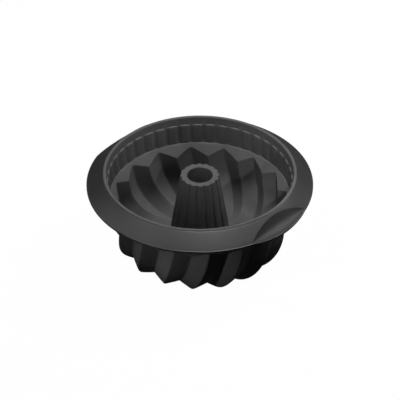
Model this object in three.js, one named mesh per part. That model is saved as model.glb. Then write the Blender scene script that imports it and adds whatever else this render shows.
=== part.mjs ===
// Savarin mould: a ring mould of black silicone with swirled ribs, hung by its rolled lip in a stiff ring.
// Millimetres, +Z up, standing on z = 0. The chimney is on the Z axis and the thumb recesses on the X axis.
import * as THREE from 'three';

// Overall sizes
const HEIGHT = 107;
const RIM_DIAMETER = 250;
const SKIRT_WIDTH = 20;
const WALL = 2.4;
const CLEARANCE = 0.3;

// Rim ring: a sloping skirt on a short hub, pressed down at the edge by two thumb recesses
const RIM_DROP = 13;
const RING_THICKNESS = 3.2;
const EDGE_ROUND = 1;
const HUB_LENGTH = 9.5;
const HUB_WALL = 2.6;
const RECESS_LAND = 4.5;
const RECESS_ROUND = 133;
const RECESS_DEPTH = 5;
const RECESS_DRAW_IN = 2;
const RING_COLUMNS = 96;
const RECESS_STEPS = 4;

// Collar: rolled lip, plain band, reeded wall and the snap ridge that carries the ring
const LIP_PROUD = 1.4;
const BAND_DEPTH = 9.9;
const COLLAR_DEPTH = 33.2;
const COLLAR_DRAFT = 3.2;
const REEDS = 44;
const REED_HEIGHT = 1.3;
const REED_PHASE = 7.8;
const REED_RUNOUT = 0.7;
const COLUMNS_PER_REED = 3;
const SNAP_HEIGHT = 1;
const SNAP_WIDTH = 1.6;

// Bowl: sloping shoulder and V ribs that swirl down and inwards
const RIBS = 16;
const RIB_DEPTH = 7.2;
const RIB_PHASE = 4;
const RIB_EDGE = 2;
const RIB_FADE = [195, 260];
const SWIRL = 32;
const SWIRL_POWER = 1.5;
const SHOULDER_SLOPE = 0.72;
const BELLY_INSET = 7.4;
const BELLY_HEIGHT = 43;
const BELLY_DRAFT = 0.07;
const FOOT_DIAMETER = 121.4;
const FOOT_CUT = 0.5;
const BOTTOM_STEPS = 4;
const SIDE_STEPS = 6;
const WALL_STEPS = 3;

// Chimney: fluted, tapered tube
const CHIMNEY_DROP = 5.5;
const CHIMNEY_TOP_DIAMETER = 42.8;
const CHIMNEY_BASE_DIAMETER = 67.2;
const CHIMNEY_BASE_HEIGHT = 24;
const HOLE_DIAMETER = 28.2;
const FLUTES = 16;
const FLUTE_DEPTH = 1.1;
const FLUTE_PHASE = 11.5;
const COLUMNS_PER_FLUTE = 4;
const TOP_ROUND = 0.8;

const SILICONE = { color: 0x1a1a1b, roughness: 0.55, metalness: 0 };
const STIFF_RING = { color: 0x2a2a2b, roughness: 0.5, metalness: 0 };

const TURN = 2 * Math.PI;
const radians = THREE.MathUtils.degToRad;
const degrees = THREE.MathUtils.radToDeg;

// Levels and radii that the pieces share
const rimRadius = RIM_DIAMETER / 2;
const crestRadius = rimRadius - SKIRT_WIDTH;
const lipRadius = (WALL + LIP_PROUD) / 2;
const lipHeight = HEIGHT - lipRadius;
const collarOuter = crestRadius - lipRadius + WALL;
const hubBottom = lipHeight - lipRadius - CLEARANCE - HUB_LENGTH;
const shoulderHeight = HEIGHT - COLLAR_DEPTH;
const collarFootInner = collarOuter - WALL - COLLAR_DRAFT;
const collarFootOuter = collarFootInner + WALL * Math.hypot(1, SHOULDER_SLOPE);
const bellyRadius = crestRadius - BELLY_INSET;
const footRadius = FOOT_DIAMETER / 2;
const chimneyBase = CHIMNEY_BASE_DIAMETER / 2;

// A loft through closed sections that stand round the Z axis, each listed anticlockwise as
// [radius, height, turn].
function loftRound(sections) {
  const rows = sections[0].length;
  const positions = [];
  const index = [];
  sections.forEach((section, i) => {
    const next = (i + 1) % sections.length;
    section.forEach(([radius, height, turn], j) => {
      positions.push(radius * Math.cos(turn), radius * Math.sin(turn), height);
      const up = (j + 1) % rows;
      const corner = [i * rows + j, next * rows + j, next * rows + up, i * rows + up];
      index.push(corner[0], corner[1], corner[2], corner[0], corner[2], corner[3]);
    });
  });
  const geometry = new THREE.BufferGeometry();
  geometry.setAttribute('position', new THREE.Float32BufferAttribute(positions, 3));
  geometry.setIndex(index);
  geometry.computeVertexNormals();
  return geometry;
}

// Even values from one to another, both ends included.
function spread(from, to, steps) {
  return Array.from({ length: steps + 1 }, (_, i) => from + ((to - from) * i) / steps);
}

// Points of an arc round [radius, height], from one angle to another in degrees.
function arc(radius, height, round, from, to, steps) {
  return spread(radians(from), radians(to), steps).map((angle) => (
    [radius + round * Math.cos(angle), height + round * Math.sin(angle)]));
}

function evenTurns(count, phase) {
  return Array.from({ length: count }, (_, i) => radians(phase) + (TURN * i) / count);
}

function piece(name, geometry, finish) {
  const mesh = new THREE.Mesh(geometry, new THREE.MeshStandardMaterial(finish));
  mesh.name = name;
  return mesh;
}

// Rim ring. The skirt falls outwards from a seat round the rolled lip; a recess presses it down and in.
function rimRing() {
  const slope = RIM_DROP / SKIRT_WIDTH;
  const drop = RING_THICKNESS * Math.hypot(1, slope);
  const hubInner = collarOuter + CLEARANCE;
  const hubOuter = hubInner + HUB_WALL;
  const seatRound = lipRadius + CLEARANCE;
  const seatEnd = -degrees(Math.acos((hubInner - crestRadius) / seatRound));
  const edgeRadius = rimRadius - EDGE_ROUND;
  const topOf = (radius) => HEIGHT - (radius - crestRadius) * slope;
  const edgeTop = topOf(edgeRadius);
  // Seen from above, a recess starts on a circle whose centre stands outside the rim on the X axis.
  const recessStart = crestRadius + RECESS_LAND;
  const recessCentre = recessStart + RECESS_ROUND;
  const start = (turn) => {
    const along = recessCentre * Math.abs(Math.cos(turn));
    const across = recessCentre * Math.sin(turn);
    const chord = RECESS_ROUND ** 2 - across ** 2;
    return Math.min(edgeRadius - EDGE_ROUND, chord > 0 ? along - Math.sqrt(chord) : edgeRadius);
  };
  const sections = evenTurns(RING_COLUMNS, 0).map((turn) => {
    const inner = start(turn);
    const width = edgeRadius - inner;
    const share = (width - EDGE_ROUND) / (edgeRadius - EDGE_ROUND - recessStart);
    const steps = spread(0, 1, RECESS_STEPS).slice(0, -1).map((step) => inner + width * step ** 2);
    const profile = [
      [hubInner, hubBottom],
      [hubOuter, hubBottom],
      [hubOuter, topOf(hubOuter) - drop],
      ...steps.map((radius) => [radius, topOf(radius) - drop]),
      ...arc(edgeRadius, edgeTop - drop + EDGE_ROUND, EDGE_ROUND, -90, 0, 2),
      ...arc(edgeRadius, edgeTop - EDGE_ROUND, EDGE_ROUND, 0, 90, 2),
      ...steps.map((radius) => [radius, topOf(radius)]).reverse(),
      [crestRadius + seatRound, topOf(crestRadius + seatRound)],
      ...arc(crestRadius, lipHeight, seatRound, 0, seatEnd, 3),
    ];
    return profile.map(([radius, height]) => {
      const reach = Math.min(1, Math.max(0, (radius - inner) / width));
      const press = share * Math.sqrt(1 - (1 - reach) ** 2);
      return [radius - RECESS_DRAW_IN * press, height - RECESS_DEPTH * press, turn];
    });
  });
  return piece('rim_ring', loftRound(sections), STIFF_RING);
}

// Fluted collar. Reeds stand out from the inner wall between the plain band and the shoulder.
function flutedCollar() {
  const bandHeight = HEIGHT - BAND_DEPTH;
  const bandInner = collarOuter - WALL;
  const snapTop = hubBottom - CLEARANCE;
  const lipStart = -degrees(Math.acos((collarOuter - crestRadius) / lipRadius));
  const outer = [
    [collarFootOuter, shoulderHeight],
    [collarOuter, snapTop - SNAP_WIDTH - SNAP_HEIGHT],
    [collarOuter + SNAP_HEIGHT, snapTop - SNAP_WIDTH],
    [collarOuter + SNAP_HEIGHT, snapTop],
    [collarOuter, snapTop],
    ...arc(crestRadius, lipHeight, lipRadius, lipStart, 180, 6),
  ];
  const sections = evenTurns(REEDS * COLUMNS_PER_REED, REED_PHASE).map((turn, i) => {
    const proud = i % COLUMNS_PER_REED === 0 ? 0 : REED_HEIGHT;
    const inner = [
      [bandInner, bandHeight],
      [bandInner - proud, bandHeight - REED_RUNOUT],
      [collarFootInner + REED_HEIGHT / 2 - proud, shoulderHeight],
    ];
    return [...outer, ...inner].map(([radius, height]) => [radius, height, turn]);
  });
  return piece('fluted_collar', loftRound(sections), SILICONE);
}

// Stations of the outer ridge line, from the foot of the chimney under the bottom and up to the belly:
// place, outward direction and rib depth. The line is two quarter ellipses, cut flat where the ribs stand.
function ridgeStations() {
  const quarter = (reach, rise, angles, depthAt) => angles.map((angle) => {
    const cos = Math.cos(radians(angle));
    const sin = Math.sin(radians(angle));
    const norm = Math.hypot(cos / reach, sin / rise);
    return {
      radius: footRadius + reach * cos,
      height: rise * (1 + sin) - FOOT_CUT,
      out: cos / reach / norm,
      up: sin / rise / norm,
      depth: RIB_DEPTH * depthAt(angle),
    };
  });
  const innerReach = footRadius - chimneyBase + WALL;
  const innerRise = CHIMNEY_BASE_HEIGHT + FOOT_CUT;
  const outerReach = bellyRadius - footRadius;
  const outerRise = BELLY_HEIGHT + FOOT_CUT;
  const flatTo = (rise) => degrees(Math.acos(1 - FOOT_CUT / rise));
  const fade = (angle) => THREE.MathUtils.clamp((angle - RIB_FADE[0]) / (RIB_FADE[1] - RIB_FADE[0]), 0, 1);
  return [
    ...quarter(innerReach, innerRise, spread(180, 270 - flatTo(innerRise), BOTTOM_STEPS), fade),
    ...quarter(outerReach, outerRise, spread(270 + flatTo(outerRise), 360, SIDE_STEPS), () => 1),
  ];
}

// Swirl bowl. V ribs are pressed in from the ridge line and turn with it on the way down.
function swirlBowl() {
  const stations = ridgeStations();
  // Where a wall, set back by some depth, meets the cone of the shoulder.
  const creaseHeight = (cone, setBack) => (
    (bellyRadius - setBack - BELLY_DRAFT * BELLY_HEIGHT - cone + SHOULDER_SLOPE * shoulderHeight)
      / (SHOULDER_SLOPE - BELLY_DRAFT));
  const wallRadius = (height, setBack) => bellyRadius - setBack + BELLY_DRAFT * (height - BELLY_HEIGHT);
  // The swirl grows with the length of the ridge line, measured from its top down to each station.
  const ridgeTop = creaseHeight(collarFootOuter, 0);
  const lengths = [];
  let length = ridgeTop - BELLY_HEIGHT;
  for (let i = stations.length - 1; i >= 0; i -= 1) {
    const above = stations[Math.min(i + 1, stations.length - 1)];
    length += Math.hypot(stations[i].radius - above.radius, stations[i].height - above.height);
    lengths[i] = length;
  }
  const swirl = (run) => -radians(SWIRL) * (Math.max(0, run) / lengths[0]) ** SWIRL_POWER;

  const section = (turn, valley) => {
    const shell = (inset, cone) => {
      const setBack = inset + RIB_DEPTH * valley;
      const round = stations.map((station, i) => {
        const back = inset + station.depth * valley;
        const height = Math.max(0, station.height - back * station.up);
        return [station.radius - back * station.out, height, turn + swirl(lengths[i])];
      });
      const wall = spread(BELLY_HEIGHT, creaseHeight(cone, setBack), WALL_STEPS).slice(1).map((height) => (
        [wallRadius(height, setBack), height, turn + swirl(ridgeTop - height)]));
      return [...round, ...wall, [cone, shoulderHeight, turn]];
    };
    return [...shell(0, collarFootOuter), ...shell(WALL, collarFootInner).reverse()];
  };
  const edgeTurn = RIB_EDGE / 2 / bellyRadius;
  const pitch = TURN / RIBS;
  const sections = evenTurns(RIBS, RIB_PHASE).flatMap((turn) => [
    section(turn - edgeTurn, 0),
    section(turn + edgeTurn, 0),
    section(turn + pitch / 4, 0.5),
    section(turn + pitch / 2, 1),
    section(turn + (pitch * 3) / 4, 0.5),
  ]);
  return piece('swirl_bowl', loftRound(sections), SILICONE);
}

// Chimney. The outside is fluted up to its scalloped top; the bore widens downwards.
function chimney() {
  const topHeight = HEIGHT - CHIMNEY_DROP;
  const topRadius = CHIMNEY_TOP_DIAMETER / 2;
  const holeRadius = HOLE_DIAMETER / 2;
  const sections = evenTurns(FLUTES * COLUMNS_PER_FLUTE, FLUTE_PHASE).map((turn, i) => {
    const acrossFlute = (2 * (i % COLUMNS_PER_FLUTE)) / COLUMNS_PER_FLUTE - 1;
    const cut = FLUTE_DEPTH * acrossFlute ** 2;
    return [
      [chimneyBase - WALL, CHIMNEY_BASE_HEIGHT],
      [chimneyBase - cut, CHIMNEY_BASE_HEIGHT],
      [topRadius - cut, topHeight - TOP_ROUND],
      [topRadius - cut - TOP_ROUND, topHeight],
      [holeRadius + TOP_ROUND, topHeight],
      [holeRadius, topHeight - TOP_ROUND],
    ].map(([radius, height]) => [radius, height, turn]);
  });
  return piece('chimney', loftRound(sections), SILICONE);
}

const mould = new THREE.Group();
mould.add(rimRing(), flutedCollar(), swirlBowl(), chimney());

export default mould;
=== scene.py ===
import math

import bpy
import numpy as np
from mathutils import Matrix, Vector


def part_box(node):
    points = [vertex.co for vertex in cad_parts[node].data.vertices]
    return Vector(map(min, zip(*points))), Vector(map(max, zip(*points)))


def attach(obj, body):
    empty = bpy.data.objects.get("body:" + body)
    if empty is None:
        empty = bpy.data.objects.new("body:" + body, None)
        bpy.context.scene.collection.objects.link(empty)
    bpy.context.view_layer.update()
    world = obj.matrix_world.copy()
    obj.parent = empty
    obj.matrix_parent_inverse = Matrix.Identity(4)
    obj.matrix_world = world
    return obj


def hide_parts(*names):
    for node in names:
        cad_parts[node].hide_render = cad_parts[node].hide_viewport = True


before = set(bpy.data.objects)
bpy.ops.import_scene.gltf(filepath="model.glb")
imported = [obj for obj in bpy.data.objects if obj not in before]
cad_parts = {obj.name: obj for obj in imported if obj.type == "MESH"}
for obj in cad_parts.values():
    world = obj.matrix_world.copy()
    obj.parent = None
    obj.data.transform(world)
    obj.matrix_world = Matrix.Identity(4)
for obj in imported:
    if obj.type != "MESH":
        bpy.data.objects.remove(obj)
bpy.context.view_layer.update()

# Fluted collar: the top of the black silicone moulding, cast in one with the bowl and the chimney.
# Its lip is rolled over the rim ring. A plain band runs below the lip, and shallow arched reeds
# line the wall from there down to the shoulder.
MM = 0.001
TURN = 2 * math.pi
WALL = 2.4 * MM
CLEARANCE = 0.3 * MM
LIP_ROUND = 1.9 * MM
LIP_STEPS = 32
BAND_DEPTH = 9.0 * MM
BAND_LEAN = 0.9 * MM
COLLAR_DRAFT = 3.2 * MM
REED_COUNT = 44
REED_COLUMNS = 16
REED_STEPS = 6
REED_HEIGHT = 1.4 * MM
REED_PHASE = math.radians(7.8)
REED_ARCH = 1.8 * MM
REED_RUNOUT = 1.0 * MM
REED_FADE = 3.0 * MM
GROOVE_POWER = 2.4
SNAP_HEIGHT = 1.0 * MM
SNAP_WIDTH = 1.6 * MM
SNAP_EASE = 0.4 * MM
HUB_LENGTH = 9.5 * MM
SHOULDER_SLOPE = 0.72
EASE_STEPS = 5
MOST_EASE = 0.45
CLOUD_DETAIL = 4.0
CLOUD_ROUGHNESS = 0.6
CLOUD_RANGE = (0.3, 0.7)
GRAIN_DETAIL = 2.0
GRAIN_DEPTH = 0.1 * MM

collar_low, collar_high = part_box("fluted_collar")
crest_height = collar_high.z
shoulder_height = collar_low.z
crest_radius = collar_high.x - LIP_ROUND
lip_height = crest_height - LIP_ROUND
collar_outer = crest_radius - LIP_ROUND + WALL
hub_bottom = lip_height - LIP_ROUND - CLEARANCE - HUB_LENGTH
foot_inner = collar_outer - WALL - COLLAR_DRAFT
foot_outer = foot_inner + WALL * math.hypot(1, SHOULDER_SLOPE)


def arc(radius, height, round_radius, start, end, steps):
    """Points (radius, height) on a circle of the section, from one angle to another in degrees."""
    angle = np.radians(np.linspace(start, end, steps + 1))
    across, up = round_radius * np.cos(angle), round_radius * np.sin(angle)
    return np.stack((radius + across, height + up), axis=1)


def bent(start, corner, end, share):
    """A point of a quadratic curve at a share of its way: the start counts by the square of what is
    left, the end by the square of the share, and the corner by twice the product of the two."""
    return (1 - share) ** 2 * start + 2 * share * (1 - share) * corner + share ** 2 * end


def eased(points, setback):
    """Rounds the inner corners of an open section line: each becomes a quadratic curve that starts
    and ends a setback away from the corner, or nearly half a side where the side is short."""
    points = np.asarray(points, float)
    corner = points[1:-1]

    def back_along(side):
        """The points a setback along each side from its corner."""
        length = np.linalg.norm(side, axis=1, keepdims=True)
        return corner + side * (np.minimum(setback, MOST_EASE * length) / length)

    start, end = back_along(points[:-2] - corner), back_along(points[2:] - corner)
    share = np.linspace(0, 1, EASE_STEPS + 1)[None, :, None]
    curve = bent(start[:, None], corner[:, None], end[:, None], share)
    return np.concatenate((points[:1], curve.reshape(-1, 2), points[-1:]))


def all_round(points, columns):
    """The same section line at every column: a (row, 2, column) block of radius and height."""
    return np.repeat(np.asarray(points)[:, :, None], columns, axis=2)


def skin_round(name, section, turn, crease=40):
    """A closed skin round the mould's axis. section is a (row, 2, column) block of radius and
    height, listed anticlockwise, and turn the angle of each point; the point stands at that radius,
    height and angle. Rows close round the section and columns close round the axis."""
    radius, height = section[:, 0], section[:, 1]
    rows, columns = radius.shape
    turn = np.broadcast_to(turn, radius.shape)
    points = np.stack((radius * np.cos(turn), radius * np.sin(turn), height), axis=-1)
    row, column = np.meshgrid(np.arange(rows), np.arange(columns), indexing="ij")
    here, above = row * columns, (row + 1) % rows * columns
    after = (column + 1) % columns
    quads = np.stack((here + column, here + after, above + after, above + column), axis=-1)
    mesh = bpy.data.meshes.new(name)
    mesh.from_pydata(points.reshape(-1, 3).tolist(), [], quads.reshape(-1, 4).tolist())
    mesh.shade_smooth()
    mesh.set_sharp_from_angle(angle=math.radians(crease))
    piece = bpy.data.objects.new(name, mesh)
    bpy.context.scene.collection.objects.link(piece)
    return piece


def finish_nodes(name):
    """A new material with its shader, and two functions: one links its nodes, and one adds a node
    with its values."""
    material = bpy.data.materials.new(name)
    material.use_nodes = True
    tree = material.node_tree
    shader = tree.nodes["Principled BSDF"]

    def node(kind, values=None, **settings):
        """Adds a node with its settings, and gives each named socket its value or its link."""
        made = tree.nodes.new(kind)
        for setting, value in settings.items():
            setattr(made, setting, value)
        for socket, value in (values or {}).items():
            if isinstance(value, bpy.types.NodeSocket):
                tree.links.new(value, made.inputs[socket])
            else:
                made.inputs[socket].default_value = value
        return made

    return material, shader, tree.links.new, node


def moulded_finish(name, tones, roughness, sheen, cloud_scale, grain_scale, grain_strength):
    """A moulded black surface. A soft cloud carries its tone and its roughness from one value to
    another, and a fine grain lies over it; sheen is the strength of its clear reflection."""
    material, shader, link, node = finish_nodes(name)
    place = node("ShaderNodeTexCoord").outputs["Object"]
    cloud = node("ShaderNodeTexNoise", {"Vector": place, "Scale": cloud_scale,
                                        "Detail": CLOUD_DETAIL,
                                        "Roughness": CLOUD_ROUGHNESS}).outputs["Fac"]
    tone = node("ShaderNodeValToRGB", {"Fac": cloud})
    for stop, position, colour in zip(tone.color_ramp.elements, CLOUD_RANGE, tones):
        stop.position, stop.color = position, (*colour, 1)
    gloss = node("ShaderNodeMapRange", {"Value": cloud, "To Min": roughness[0],
                                        "To Max": roughness[1]})
    grain = node("ShaderNodeTexNoise", {"Vector": place, "Scale": grain_scale,
                                        "Detail": GRAIN_DETAIL})
    bump = node("ShaderNodeBump", {"Height": grain.outputs["Fac"], "Strength": grain_strength,
                                   "Distance": GRAIN_DEPTH})
    link(tone.outputs["Color"], shader.inputs["Base Color"])
    link(gloss.outputs["Result"], shader.inputs["Roughness"])
    link(bump.outputs["Normal"], shader.inputs["Normal"])
    shader.inputs["Specular IOR Level"].default_value = sheen
    return material


silicone = moulded_finish(
    "black_silicone", tones=((0.074, 0.074, 0.075), (0.086, 0.086, 0.087)), roughness=(0.46, 0.54),
    sheen=0.08, cloud_scale=45.0, grain_scale=1400.0, grain_strength=0.12)
reed_columns = REED_COUNT * REED_COLUMNS
reed_turn = REED_PHASE + TURN * np.arange(reed_columns) / reed_columns
across_reed = np.arange(reed_columns) % REED_COLUMNS / REED_COLUMNS
proud = REED_HEIGHT * (1 - (0.5 + 0.5 * np.cos(TURN * across_reed)) ** GROOVE_POWER)
band_bottom = crest_height - BAND_DEPTH
band_inner = collar_outer - WALL - BAND_LEAN
snap_top = hub_bottom - CLEARANCE
lip_start = -math.degrees(math.acos((collar_outer - crest_radius) / LIP_ROUND))
collar_outside = eased([
    (foot_outer, shoulder_height),
    (collar_outer, snap_top - SNAP_WIDTH - SNAP_HEIGHT),
    (collar_outer + SNAP_HEIGHT, snap_top - SNAP_WIDTH),
    (collar_outer + SNAP_HEIGHT, snap_top),
    (collar_outer, snap_top),
    (collar_outer, snap_top + SNAP_WIDTH),
], SNAP_EASE)
lip = arc(crest_radius, lip_height, LIP_ROUND, lip_start, 180, LIP_STEPS)


def reeded_wall():
    """The inner wall from the band down to the shoulder. The wall leans in by the draft; a reed
    stands out of it from an arched top, where it runs out into the band, and dies away just above
    the shoulder."""
    top = band_bottom - REED_ARCH * (2 * across_reed - 1) ** 2
    runout = np.linspace(0, 1, REED_STEPS)[:, None]
    down = np.linspace(0, 1, REED_STEPS + 1)[1:, None]
    fade_start = shoulder_height + REED_FADE
    runout_end = top - REED_RUNOUT
    height = np.concatenate((
        top - REED_RUNOUT * runout,
        runout_end + (fade_start - runout_end) * down,
        np.broadcast_to(fade_start - REED_FADE * down, (REED_STEPS, reed_columns)),
    ))
    lean = (band_bottom - height) / (band_bottom - shoulder_height)
    wall = band_inner + (foot_inner + REED_HEIGHT / 2 - band_inner) * lean
    whole = np.ones((2 * REED_STEPS, 1))
    stand = np.concatenate((np.sin(runout * math.pi / 2), whole))
    keep = np.concatenate((whole, 1 - down ** 2))
    radius = foot_inner + (wall - proud * stand - foot_inner) * keep
    return np.stack((radius, height), axis=1)


collar = skin_round("silicone_collar", np.concatenate((
    all_round(collar_outside, reed_columns),
    all_round(lip, reed_columns),
    reeded_wall(),
)), reed_turn)
collar.data.materials.append(silicone)
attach(collar, "root")
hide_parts("fluted_collar")

# Swirl bowl: the body of the same moulding. A sloping shoulder leads down to sixteen V ribs, which
# start upright and swirl down and inwards round the bottom; the mould stands on their lowest points.
RIB_COUNT = 16
RIB_COLUMNS = 36
RIB_DEPTH = 6.0 * MM
RIB_GROWTH = 0.03
RIB_PHASE = math.radians(4)
RIB_SHARPNESS = 0.994
RIB_CLUSTER = 0.6
RIB_FADE_START = 195
RIB_FADE_END = 260
SWIRL = math.radians(32)
SWIRL_POWER = 1.5
BELLY_INSET = 6.6 * MM
BELLY_HEIGHT = 43 * MM
BELLY_DRAFT = 0.04
FOOT_RADIUS = 64 * MM
FOOT_CUT = 0.5 * MM
CREASE_EASE = 0.7 * MM
CREASE_EASE_ABOVE = 0.8 * CREASE_EASE
INNER_STEPS = 18
OUTER_STEPS = 30
WALL_STEPS = 12
SHOULDER_STEPS = 5

chimney_low, chimney_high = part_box("chimney")
chimney_base_radius = chimney_high.x
chimney_base_height = chimney_low.z
belly_radius = crest_radius - BELLY_INSET
rib_columns = RIB_COUNT * RIB_COLUMNS
along = np.arange(rib_columns) / RIB_COLUMNS
across_rib = along - RIB_CLUSTER * np.sin(2 * TURN * along) / (2 * TURN)
rib_turn = RIB_PHASE + TURN * across_rib / RIB_COUNT
valley = 0.5 - np.arcsin(RIB_SHARPNESS * np.cos(TURN * across_rib)) / (2 * math.asin(RIB_SHARPNESS))


def quarter(reach, rise, start, end, steps):
    """A quarter ellipse of the ridge line about a point above the foot circle, from one angle to
    another in degrees: radius, height, the two parts of the outward normal, and the angle."""
    angle = np.linspace(start, end, steps + 1)
    cos, sin = np.cos(np.radians(angle)), np.sin(np.radians(angle))
    norm = np.hypot(cos / reach, sin / rise)
    return np.stack((FOOT_RADIUS + reach * cos, rise * (1 + sin) - FOOT_CUT,
                     cos / reach / norm, sin / rise / norm, angle))


def flat_angle(rise):
    """How far from its lowest point, in degrees, an ellipse of that rise is cut flat for a foot:
    the angle whose cosine is one less the share of the rise that is cut."""
    return math.degrees(math.acos(1 - FOOT_CUT / rise))


inner_reach, outer_reach = FOOT_RADIUS - chimney_base_radius + WALL, belly_radius - FOOT_RADIUS
inner_rise, outer_rise = chimney_base_height + FOOT_CUT, BELLY_HEIGHT + FOOT_CUT
ridge = np.concatenate((
    quarter(inner_reach, inner_rise, 180, 270 - flat_angle(inner_rise), INNER_STEPS),
    quarter(outer_reach, outer_rise, 270 + flat_angle(outer_rise), 360, OUTER_STEPS),
), axis=1)
ridge_radius, ridge_height, ridge_out, ridge_up, ridge_angle = ridge[:, :, None]
rib_share = np.clip((ridge_angle - RIB_FADE_START) / (RIB_FADE_END - RIB_FADE_START), 0, 1)


def crease_height(cone, set_back):
    """Height where the wall, set back from the ridge line, meets the cone of the shoulder: there
    the two straight lines, one leaning by the draft and one by the slope, have the same radius."""
    wall_foot = belly_radius - set_back - BELLY_DRAFT * BELLY_HEIGHT
    return (wall_foot - cone + SHOULDER_SLOPE * shoulder_height) / (SHOULDER_SLOPE - BELLY_DRAFT)


ridge_top = crease_height(foot_outer, 0)
steps_down = np.hypot(np.diff(ridge_radius, axis=0), np.diff(ridge_height, axis=0))
length_round = np.concatenate((np.cumsum(steps_down[::-1], axis=0)[::-1], [[0.0]]))
ridge_length = ridge_top - BELLY_HEIGHT + length_round


def swirl(length):
    """Turn of the ribs at a length down the ridge line from its top: the whole swirl times a power
    of that length's share of the whole."""
    return -SWIRL * (np.maximum(0, length) / ridge_length[0, 0]) ** SWIRL_POWER


def ribbed_shell(inset, cone):
    """One skin of the bowl, set inside the ridge line by inset: the round bottom, the wall and the
    shoulder. A valley lies its depth inside the ridge line, along the line's own inward direction;
    the depth grows with the distance below the shoulder."""
    crease = crease_height(cone, inset + RIB_DEPTH * valley)
    back = inset + rib_share * valley * (RIB_DEPTH + RIB_GROWTH * (crease - ridge_height))
    round_radius = ridge_radius - back * ridge_out
    round_height = np.maximum(0, ridge_height - back * ridge_up)
    climb = np.linspace(0, 1, WALL_STEPS + 1)[1:, None]
    wall_height = BELLY_HEIGHT + (crease - CREASE_EASE - BELLY_HEIGHT) * climb
    set_back = inset + valley * (RIB_DEPTH + RIB_GROWTH * (crease - wall_height))
    wall_radius = belly_radius - set_back + BELLY_DRAFT * (wall_height - BELLY_HEIGHT)
    step = np.linspace(0, 1, SHOULDER_STEPS + 1)[1:, None]
    crease_radius = cone - SHOULDER_SLOPE * (shoulder_height - crease)
    far_height = crease + CREASE_EASE_ABOVE
    far_radius = crease_radius + SHOULDER_SLOPE * CREASE_EASE_ABOVE
    radius = np.concatenate((round_radius, wall_radius,
                             bent(wall_radius[-1], crease_radius, far_radius, step),
                             far_radius + (cone - far_radius) * step))
    height = np.concatenate((round_height, wall_height,
                             bent(wall_height[-1], crease, far_height, step),
                             far_height + (shoulder_height - far_height) * step))
    upper = ridge_top - height[len(ridge_radius):]
    length = np.concatenate((np.broadcast_to(ridge_length, round_radius.shape), upper))
    return np.stack((radius, height), axis=1), rib_turn + swirl(length)


outer_shell, outer_turn = ribbed_shell(0, foot_outer)
inner_shell, inner_turn = ribbed_shell(WALL, foot_inner)
bowl = skin_round("silicone_bowl", np.concatenate((outer_shell, inner_shell[::-1])),
                  np.concatenate((outer_turn, inner_turn[::-1])), crease=60)
bowl.data.materials.append(silicone)
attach(bowl, "root")
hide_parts("swirl_bowl")

# Chimney: the hollow middle of the same moulding, which lets the heat up through the cake. It tapers
# upwards, is fluted all round, and ends in a flat scalloped ring with softly rounded edges.
FLUTE_COUNT = 16
FLUTE_COLUMNS = 24
FLUTE_DEPTH = 2.1 * MM
FLUTE_POWER = 4
FLUTE_PHASE = math.radians(11.5)
BORE_FLUTES = 0.6
BORE_FLUTE_START = 0.25
CHIMNEY_TOP_RADIUS = 21.4 * MM
HOLE_RADIUS = 14.1 * MM
TOP_ROUND = 0.8 * MM
SIDE_STEPS = 8
EDGE_STEPS = 6

flute_columns = FLUTE_COUNT * FLUTE_COLUMNS
flute_turn = FLUTE_PHASE + TURN * np.arange(flute_columns) / flute_columns
across_flute = 2 * (np.arange(flute_columns) % FLUTE_COLUMNS) / FLUTE_COLUMNS - 1
flute_cut = FLUTE_DEPTH * np.abs(across_flute) ** FLUTE_POWER
chimney_top = chimney_high.z


def fluted_tube():
    """The tube's section at each column. The cut of a flute grows with a power of the distance from
    its middle; it moves the whole outer line inwards, round the top edge too, and most of it shows
    in the bore, below the hole."""
    climb = np.linspace(0, 1, SIDE_STEPS + 1)[:, None]
    drop = climb[1:]
    edge = np.radians(np.linspace(0, 90, EDGE_STEPS + 1))[:, None]
    edge_height = chimney_top - TOP_ROUND
    bore_cut = BORE_FLUTES * flute_cut * np.minimum(1, drop / BORE_FLUTE_START)
    side = (chimney_base_radius + (CHIMNEY_TOP_RADIUS - chimney_base_radius) * climb - flute_cut,
            chimney_base_height + (edge_height - chimney_base_height) * climb)
    outer_edge = (CHIMNEY_TOP_RADIUS - TOP_ROUND - flute_cut + TOP_ROUND * np.cos(edge[1:]),
                  edge_height + TOP_ROUND * np.sin(edge[1:]))
    hole_edge = (HOLE_RADIUS + TOP_ROUND - TOP_ROUND * np.sin(edge),
                 edge_height + TOP_ROUND * np.cos(edge))
    bore = (HOLE_RADIUS + (chimney_base_radius - WALL - HOLE_RADIUS) * drop - bore_cut,
            edge_height + (chimney_base_height - edge_height) * drop)
    return np.concatenate([
        np.stack([np.broadcast_to(part, (len(part), flute_columns)) for part in line], axis=1)
        for line in (side, outer_edge, hole_edge, bore)])


chimney = skin_round("silicone_chimney", fluted_tube(), flute_turn)
chimney.data.materials.append(silicone)
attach(chimney, "root")
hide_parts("chimney")

# Rim ring: a stiff ring of matt black plastic, which carries the soft mould by its lip and is what
# the hands hold. A skirt slopes down from the lip to a thin toed edge, and a thumb recess is pressed
# into two sides.
RING_COLUMNS = 720
RING_THICKNESS = 3.2 * MM
RING_EASE = 0.5 * MM
RIM_DROP = 15.9 * MM
UNDERSIDE_DROP = 14.3 * MM
SEAT_DROP = 0.4 * MM
SEAT_GAP = 0.03 * MM
SEAT_STEPS = 6
SKIRT_BOW = 0.12
HUB_WALL = 2.6 * MM
EDGE_ROUND = 1.0 * MM
TOE = 0.6 * MM
TOE_EASE = 0.3 * TOE
RECESS_LAND = 4.5 * MM
RECESS_ROUND = 133 * MM
RECESS_DEPTH = 3.6 * MM
RECESS_WALL = 0.42
RECESS_SCOOP = 0.28
RECESS_CRISP = 0.2 * MM
UNDER_ROWS = 10
UNDER_REACH = 0.9
OVER_ROWS = 20
OVER_REACH = 0.95

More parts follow.
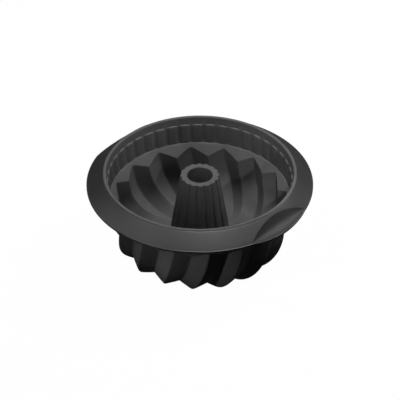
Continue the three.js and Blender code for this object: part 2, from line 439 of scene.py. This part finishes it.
rim_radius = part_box("rim_ring")[1].y
ring_turn = TURN * np.arange(RING_COLUMNS) / RING_COLUMNS
slope = UNDERSIDE_DROP / (rim_radius - crest_radius)
ring_drop = RING_THICKNESS * math.hypot(1, slope)
hub_inner = collar_outer + CLEARANCE
hub_outer = hub_inner + HUB_WALL
hub_end = hub_outer + HUB_WALL
seat_round = LIP_ROUND + SEAT_GAP
seat_radius = crest_radius + seat_round
seat_end = -math.degrees(math.acos((hub_inner - crest_radius) / seat_round))
edge_radius = rim_radius - EDGE_ROUND
edge_start = edge_radius - EDGE_ROUND
recess_start = crest_radius + RECESS_LAND


def skirt_top(radius):
    """Height of the plain skirt's upper side at a radius: a straight fall mixed with a share of a
    square one, so that it is steeper at the edge."""
    out = (radius - crest_radius) / (rim_radius - crest_radius)
    bow = (1 - SKIRT_BOW) * out + SKIRT_BOW * out ** 2
    return crest_height - SEAT_DROP - (RIM_DROP - SEAT_DROP) * bow


def skirt_under(radius):
    """Height of the plain skirt's underside at a radius: a straight fall of less slope, started the
    ring's thickness below the crest, so that the skirt thins to its edge."""
    return crest_height - (radius - crest_radius) * slope - ring_drop


def recess_line(turn):
    """Radius where the recess starts at an angle: a circle about a point outside the rim on the X
    axis, or the edge itself where that circle doesn't reach."""
    centre = recess_start + RECESS_ROUND
    chord = RECESS_ROUND ** 2 - (centre * np.sin(turn)) ** 2
    near = centre * np.abs(np.cos(turn)) - np.sqrt(np.maximum(chord, 0))
    return np.where(chord > 0, np.minimum(near, edge_start), edge_start)


def ring_section():
    """The ring's section at each column: hub, underside, toed edge, skirt and the seat round the
    lip. Past the recess line every point is pressed down: by a steep sine wall at first, and then by
    a scoop that rises a little again towards the edge."""
    start = recess_line(ring_turn)
    width = edge_radius - start
    share = (width - EDGE_ROUND) / (edge_start - recess_start)
    under_start = np.maximum(start, hub_end + RECESS_CRISP)
    under_spread = np.linspace(0, UNDER_REACH, UNDER_ROWS)[:, None] ** 2
    under = under_start + (edge_radius - under_start) * under_spread
    over = start + width * np.linspace(0, OVER_REACH, OVER_ROWS)[:, None] ** 2
    crisp = start - RECESS_CRISP
    hub = eased([
        (hub_inner, hub_bottom),
        (hub_outer, hub_bottom),
        (hub_outer, skirt_under(hub_outer)),
        (hub_end, skirt_under(hub_end)),
    ], RING_EASE)
    edge = eased([
        (edge_radius, skirt_under(edge_radius)),
        (rim_radius, skirt_under(edge_radius)),
        (rim_radius, skirt_top(rim_radius - TOE)),
        (rim_radius - TOE, skirt_top(rim_radius - TOE)),
        (edge_start, skirt_top(edge_start)),
    ], TOE_EASE)[:-1]
    seat = eased([
        (recess_start - EDGE_ROUND, skirt_top(recess_start - EDGE_ROUND)),
        (seat_radius, skirt_top(seat_radius)),
        (seat_radius, lip_height),
    ], RING_EASE)
    under_lip = arc(crest_radius, lip_height, seat_round, 0, seat_end, SEAT_STEPS)[1:]
    plain = np.concatenate((
        all_round(hub, RING_COLUMNS),
        np.stack((under, skirt_under(under)), axis=1),
        all_round(edge, RING_COLUMNS),
        np.stack((over, skirt_top(over)), axis=1)[::-1],
        np.stack((crisp, skirt_top(crisp)))[None],
        all_round(seat, RING_COLUMNS),
        all_round(under_lip, RING_COLUMNS),
    ))
    reach = np.clip((plain[:, 0] - start) / width, 0, 1)
    wall = np.sin(math.pi / 2 * np.minimum(1, reach / RECESS_WALL))
    rise = np.clip((reach - RECESS_WALL) / (1 - RECESS_WALL), 0, 1)
    press = share * ((1 + RECESS_SCOOP) * wall - RECESS_SCOOP * rise ** 2 * (3 - 2 * rise))
    return plain - np.stack((np.zeros_like(press), RECESS_DEPTH * press), axis=1)


ring = skin_round("rim_ring_matt", ring_section(), ring_turn)
ring.data.materials.append(moulded_finish(
    "matt_ring", tones=((0.014, 0.014, 0.0143), (0.019, 0.019, 0.0193)), roughness=(0.41, 0.47),
    sheen=0.8, cloud_scale=30.0, grain_scale=1800.0, grain_strength=0.15))
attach(ring, "root")
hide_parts("rim_ring")

# Floor: a plain pale sheet, on which the mould stands by its feet. The camera sees it white, and the
# mould's gloss sees a little of that white, far out; nearer the mould the gloss sees only the dim
# floor, a painted shadow. The light that it throws back is dim, and it keeps the shadow.
FLOOR_HALF = 3.0
FLOOR_DIM = 0.03
FLOOR_PALE = 0.8
FLOOR_ROUGHNESS = 0.9
WHITE_SHARE = 0.94
GLOSS_SHARE = 0.2
# Painted shadow in reflections: inside the inner distance from the mould's axis the gloss sees no
# white, and past the outer one it sees its full share.
PAINTED_SHADE_INNER = 0.6
PAINTED_SHADE_OUTER = 1.5


def floor_finish():
    """Dim diffuse floor that shows a share of plain white to the camera, and a smaller share in
    reflections, which grows smoothly from nothing to its full value with the distance from the
    mould's axis; the dim floor that reflections see near the mould is a painted shadow."""
    material, shader, link, node = finish_nodes("pale_floor")
    shader.inputs["Roughness"].default_value = FLOOR_ROUGHNESS
    shader.inputs["Specular IOR Level"].default_value = 0.0
    rays = node("ShaderNodeLightPath").outputs
    in_view = rays["Is Camera Ray"]
    tone = node("ShaderNodeMapRange", {"Value": in_view, "To Min": FLOOR_DIM, "To Max": FLOOR_PALE})
    link(tone.outputs["Result"], shader.inputs["Base Color"])
    white = node("ShaderNodeEmission", {"Color": (1, 1, 1, 1), "Strength": 1.0})
    seen = node("ShaderNodeMath", {0: in_view, 1: WHITE_SHARE}, operation="MULTIPLY")
    place = node("ShaderNodeTexCoord").outputs["Object"]
    away = node("ShaderNodeVectorMath", {0: place}, operation="LENGTH").outputs["Value"]
    # Painted shadow for reflections: no white near the mould's axis, growing to the full share
    # further out.
    white_past_painted_shade = node("ShaderNodeMapRange", {"Value": away, "From Min": PAINTED_SHADE_INNER,
                                          "From Max": PAINTED_SHADE_OUTER, "To Max": GLOSS_SHARE},
                   interpolation_type="SMOOTHSTEP")
    mirrored = node("ShaderNodeMath", {0: rays["Is Glossy Ray"], 1: rays["Is Transmission Ray"]},
                    operation="MAXIMUM")
    reflected_white_with_painted_shade = node("ShaderNodeMath", {0: mirrored.outputs[0], 1: white_past_painted_shade.outputs["Result"]},
                 operation="MULTIPLY")
    share = node("ShaderNodeMath", {0: seen.outputs[0], 1: reflected_white_with_painted_shade.outputs[0]}, operation="MAXIMUM")
    mix = node("ShaderNodeMixShader", {0: share.outputs[0], 1: shader.outputs[0],
                                       2: white.outputs[0]})
    link(mix.outputs[0], material.node_tree.nodes["Material Output"].inputs["Surface"])
    return material


floor_mesh = bpy.data.meshes.new("floor")
floor_corners = [(-FLOOR_HALF, -FLOOR_HALF, 0), (FLOOR_HALF, -FLOOR_HALF, 0),
                 (FLOOR_HALF, FLOOR_HALF, 0), (-FLOOR_HALF, FLOOR_HALF, 0)]
floor_mesh.from_pydata(floor_corners, [], [(0, 1, 2, 3)])
floor = bpy.data.objects.new("floor", floor_mesh)
floor.data.materials.append(floor_finish())
bpy.context.scene.collection.objects.link(floor)

# Camera: the photograph's view, from some 36 degrees above the rim, through a long lens from far
# off. The frame is shifted so that the centre of the lip lies where the photograph has it, a little
# above the middle.
VIEW_TURN = 43
VIEW_RISE = 36.4
VIEW_DISTANCE = 2.758
LENS_MM = 225.8
SENSOR_MM = 36
FRAME_PIXELS = 400
LIP_CENTRE_PIXEL = (199.8, 170.75)


def around(turn, rise):
    """Direction at an angle right of the camera and a rise above the floor, both in degrees."""
    turn, rise = math.radians(VIEW_TURN + turn), math.radians(rise)
    level = math.cos(rise)
    return Vector((math.sin(turn) * level, -math.cos(turn) * level, math.sin(rise)))


towards_camera = around(0, VIEW_RISE)
camera_data = bpy.data.cameras.new("photo_view")
camera_data.sensor_width = SENSOR_MM
camera_data.lens = LENS_MM
camera_data.shift_x = (FRAME_PIXELS / 2 - LIP_CENTRE_PIXEL[0]) / FRAME_PIXELS
camera_data.shift_y = (LIP_CENTRE_PIXEL[1] - FRAME_PIXELS / 2) / FRAME_PIXELS
camera = bpy.data.objects.new("photo_view", camera_data)
camera.location = Vector((0, 0, crest_height)) + towards_camera * VIEW_DISTANCE
camera.rotation_euler = towards_camera.to_track_quat("Z", "Y").to_euler()
bpy.context.scene.collection.objects.link(camera)
bpy.context.scene.camera = camera

# Light: a soft box overhead gives most of it, evenly and without shadow, and weaker ones stand
# behind and at the sides. Narrow lamps shine over the front rim, at the inner wall and at the ribs
# below the ring, and pass by the faces of the ribs that turn away from them.
ROOM_LEVEL = 0.02
LAMP_DISTANCE = 2.5
# Name, turn and rise as seen from the mould, width, power, and whether it casts a shadow
SOFT_BOXES = (
    ("overhead", 135, 82, 0.66, 63.0, False),
    ("right_high", 124, 50, 0.66, 9.0, True),
    ("left_high", 270, 63, 0.66, 5.3, True),
    ("left", 270, 32, 0.53, 2.0, True),
    ("right_low", 120, 4, 0.53, 5.5, True),
)
# Name, turn, rise, half the beam, its blend, radius of the bulb, the turn, radius and height of the
# spot it is aimed at, power, and whether it casts a shadow
NARROW_LAMPS = (
    ("over_rim_right", 40, 8.4, 2.6, 0.15, 0.05, (40, 0.088, 0.2198), 100, False),
    ("over_rim_left", 310, 8.4, 2.6, 0.15, 0.05, (310, 0.088, 0.2198), 115, False),
    ("at_back_wall", 86, 28, 0.85, 0.5, 0.05, (188, 0.090, 0.055), 150, True),
    ("at_right_wall", 28, 30, 1.1, 0.5, 0.05, (136, 0.090, 0.055), 150, True),
    ("at_far_right_wall", 2, 36, 0.62, 0.7, 0.01, (118, 0.092, 0.050), 125, True),
    ("at_front_ribs", 296, 12, 0.95, 0.5, 0.05, (37, 0.095, 0.040), 205, True),
    ("at_left_ribs", 259, 12, 1.1, 0.5, 0.05, (335, 0.095, 0.040), 105, True),
)


def place_lamp(lamp, power, target, direction):
    """Sets a lamp of that power off from its target in a direction, and faces it to the target."""
    lamp.energy = power
    light = bpy.data.objects.new(lamp.name, lamp)
    light.location = target + direction * LAMP_DISTANCE
    light.rotation_euler = direction.to_track_quat("Z", "Y").to_euler()
    bpy.context.scene.collection.objects.link(light)


for name, turn, rise, size, power, shadow in SOFT_BOXES:
    soft_box = bpy.data.lights.new(name, "AREA")
    soft_box.shape, soft_box.size, soft_box.use_shadow = "SQUARE", size, shadow
    place_lamp(soft_box, power, Vector((0, 0, 0)), around(turn, rise))
for name, turn, rise, half_beam, blend, bulb, spot, power, shadow in NARROW_LAMPS:
    spot_turn, spot_radius, spot_height = spot
    narrow = bpy.data.lights.new(name, "SPOT")
    narrow.spot_size, narrow.spot_blend = math.radians(2 * half_beam), blend
    narrow.shadow_soft_size, narrow.use_shadow = bulb, shadow
    target = around(spot_turn, 0) * spot_radius + Vector((0, 0, spot_height))
    place_lamp(narrow, power, target, around(turn, rise))
world = bpy.data.worlds.new("room")
world.use_nodes = True
background = world.node_tree.nodes["Background"].inputs
background["Color"].default_value = (1, 1, 1, 1)
background["Strength"].default_value = ROOM_LEVEL
bpy.context.scene.world = world
bpy.context.scene.view_settings.view_transform = "Standard"
